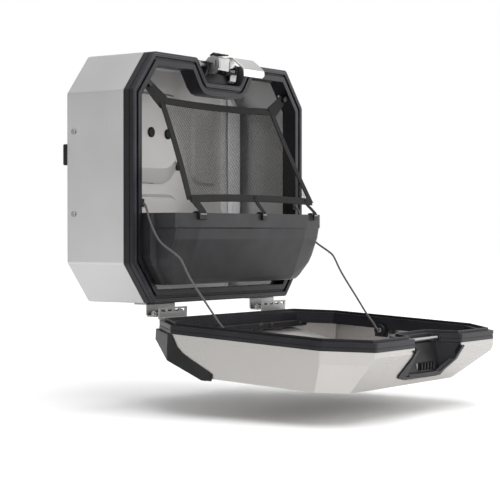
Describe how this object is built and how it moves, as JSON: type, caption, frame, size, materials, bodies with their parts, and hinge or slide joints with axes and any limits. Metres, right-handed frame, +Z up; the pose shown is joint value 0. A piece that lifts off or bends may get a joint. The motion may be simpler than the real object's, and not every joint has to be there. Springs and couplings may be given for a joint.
{
  "type": "motorcycle side case",
  "caption": "Octagonal hard aluminium side case with plastic edge frames, a bottom-hinged lid held by stay cords, an inner storage tub and net, and a top latch with a lock.",
  "frame": {"origin": "centre of the face of the rear mounting rail, where the case meets the motorcycle's rack", "axes": "+Y out of the back of the case towards the motorcycle, +Z up, +X to the right for someone who faces the open case"},
  "size_m": [0.508, 0.5912, 0.5598],
  "materials": {
    "aluminium_body": "brushed satin",
    "aluminium_lid": "brushed satin",
    "aluminium_lever": "satin anodised",
    "cast_latch": "cast, machined faces",
    "stainless": "satin",
    "frame_plastic": "fine grain",
    "tub_plastic": "fine grain",
    "black_plastic": "matt",
    "seal_rubber": "matt",
    "net_mesh": "open knitted mesh",
    "webbing": "woven",
    "cord_sheath": "braided"
  },
  "bodies": {
    "case": {"body_shell": "aluminium_body", "back_panel": "aluminium_body", "body_frame": "frame_plastic", "body_seal": "seal_rubber", "rear_mount_rail": "black_plastic", "storage_tub": "tub_plastic", "cargo_net": "net_mesh", "net_strap_l": "webbing", "net_strap_r": "webbing", "net_clip_l": "black_plastic", "net_clip_r": "black_plastic", "hook_strap_l": "webbing", "hook_strap_m": "webbing", "hook_strap_r": "webbing", "cord_anchor_l": "black_plastic", "cord_anchor_r": "black_plastic", "stay_cord_l": "cord_sheath", "stay_cord_r": "cord_sheath", "hinge_case_l": "stainless", "hinge_case_r": "stainless", "hinge_pin_l": "stainless", "hinge_pin_r": "stainless", "rivet_l_top": "stainless", "rivet_l_low": "stainless", "rivet_r_top": "stainless", "rivet_r_low": "stainless", "back_plug_1": "seal_rubber", "back_plug_2": "seal_rubber", "back_plug_3": "seal_rubber", "back_plug_4": "seal_rubber", "latch_base": "black_plastic", "latch_pin": "stainless"},
    "latch": {"latch_housing": "cast_latch", "latch_lever": "aluminium_lever", "latch_hook": "stainless"},
    "lock": {"lock_cylinder": "stainless"},
    "dust_cover": {"lock_cover": "black_plastic"},
    "lid": {"lid_frame": "frame_plastic", "lid_shell": "aluminium_lid", "latch_keeper": "black_plastic", "strike_bar": "stainless", "corner_guard_l": "black_plastic", "corner_guard_r": "black_plastic", "cord_disc_l": "black_plastic", "cord_disc_r": "black_plastic", "hinge_lid_l": "stainless", "hinge_lid_r": "stainless", "lid_inner_rib": "black_plastic"}
  },
  "joints": [
    {"name": "lid_hinge", "type": "hinge", "parent": "case", "child": "lid", "pos_m": [0, -0.1529, -0.2687], "axis": [1, 0, 0], "range_deg": [-93, 0], "deforming": ["stay_cord_l", "stay_cord_r"]},
    {"name": "latch_swing", "type": "hinge", "parent": "case", "child": "latch", "pos_m": [0, -0.15, 0.161], "axis": [-1, 0, 0], "range_deg": [0, 45]},
    {"name": "lock_turn", "type": "hinge", "parent": "latch", "child": "lock", "pos_m": [-0.017, -0.161, 0.169], "axis": [0, 0, 1], "range_deg": [0, 90]},
    {"name": "dust_cover_flip", "type": "hinge", "parent": "latch", "child": "dust_cover", "pos_m": [-0.017, -0.15, 0.179], "axis": [-1, 0, 0], "range_deg": [0, 100]}
  ]
}
